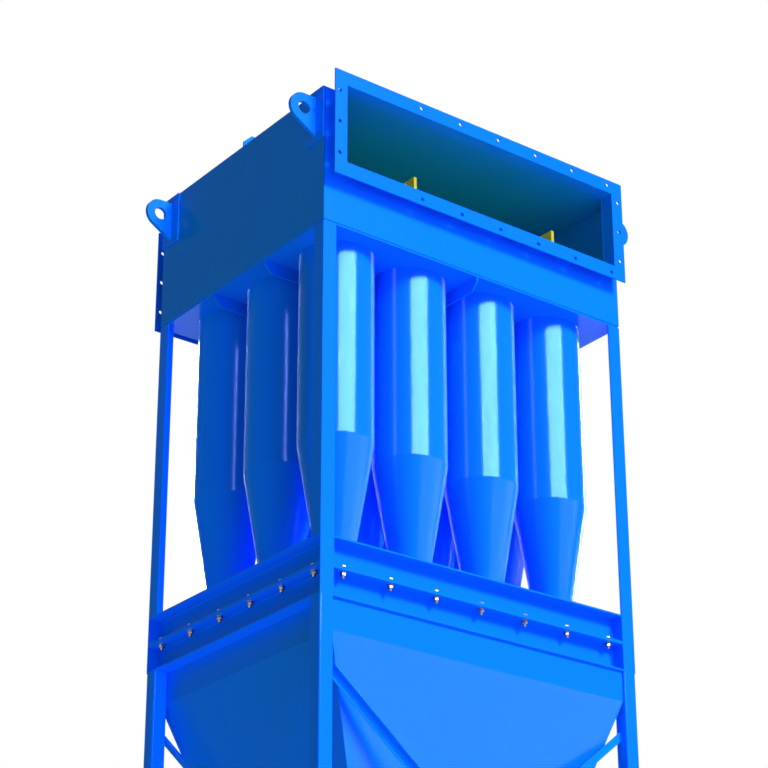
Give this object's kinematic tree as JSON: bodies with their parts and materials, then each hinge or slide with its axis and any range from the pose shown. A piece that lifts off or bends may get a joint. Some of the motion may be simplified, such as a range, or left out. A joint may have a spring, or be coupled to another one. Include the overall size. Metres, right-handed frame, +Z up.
{
  "type": "cyclone separator",
  "caption": "Battery cyclone dust separator on square steel legs: gas box with wide flanged ducts, a grid of cyclones below it, bolted frame rings and a steep dust hopper.",
  "frame": {"origin": "centre of the plan of the separator, on the floor under its foot plates", "axes": "+Z up; +X along the front, to the right when facing it; the clean gas outlet duct faces -Y and the dusty gas inlet duct faces +Y"},
  "size_m": [2.334, 1.68, 6.861],
  "materials": {
    "blue_paint": "gloss",
    "yellow_paint": "gloss"
  },
  "bodies": {
    "root": {"box_floor": "blue_paint", "box_front_wall": "blue_paint", "box_left_wall": "blue_paint", "box_rear_wall": "blue_paint", "box_right_wall": "blue_paint", "box_roof": "blue_paint", "brace_front_falling": "blue_paint", "brace_front_rising": "blue_paint", "brace_rear_falling": "blue_paint", "brace_rear_rising": "blue_paint", "cyclone_row_1_column_1": "blue_paint", "cyclone_row_1_column_2": "blue_paint", "cyclone_row_1_column_3": "blue_paint", "cyclone_row_1_column_4": "blue_paint", "cyclone_row_2_column_1": "blue_paint", "cyclone_row_2_column_2": "blue_paint", "cyclone_row_2_column_3": "blue_paint", "cyclone_row_2_column_4": "blue_paint", "cyclone_row_3_column_1": "blue_paint", "cyclone_row_3_column_2": "blue_paint", "cyclone_row_3_column_3": "blue_paint", "cyclone_row_3_column_4": "blue_paint", "dust_plate": "blue_paint", "floor_rib_front": "blue_paint", "floor_rib_middle": "blue_paint", "floor_rib_rear": "blue_paint", "gas_tubes": "yellow_paint", "hopper_front_plate": "blue_paint", "hopper_left_plate": "blue_paint", "hopper_outlet": "blue_paint", "hopper_rear_plate": "blue_paint", "hopper_right_plate": "blue_paint", "inlet_duct": "blue_paint", "leg_front_left": "blue_paint", "leg_front_right": "blue_paint", "leg_rear_left": "blue_paint", "leg_rear_right": "blue_paint", "lifting_lug_front_left": "blue_paint", "lifting_lug_front_right": "blue_paint", "lifting_lug_rear_left": "blue_paint", "lifting_lug_rear_right": "blue_paint", "lower_ring_front": "blue_paint", "lower_ring_left": "blue_paint", "lower_ring_rear": "blue_paint", "lower_ring_right": "blue_paint", "outlet_duct": "blue_paint", "post_front_left": "blue_paint", "post_front_right": "blue_paint", "post_rear_left": "blue_paint", "post_rear_right": "blue_paint", "roof_rib": "blue_paint", "tube_sheet": "yellow_paint", "tube_sheet_stiffeners": "yellow_paint", "upper_ring_front": "blue_paint", "upper_ring_left": "blue_paint", "upper_ring_rear": "blue_paint", "upper_ring_right": "blue_paint"}
  },
  "joints": []
}
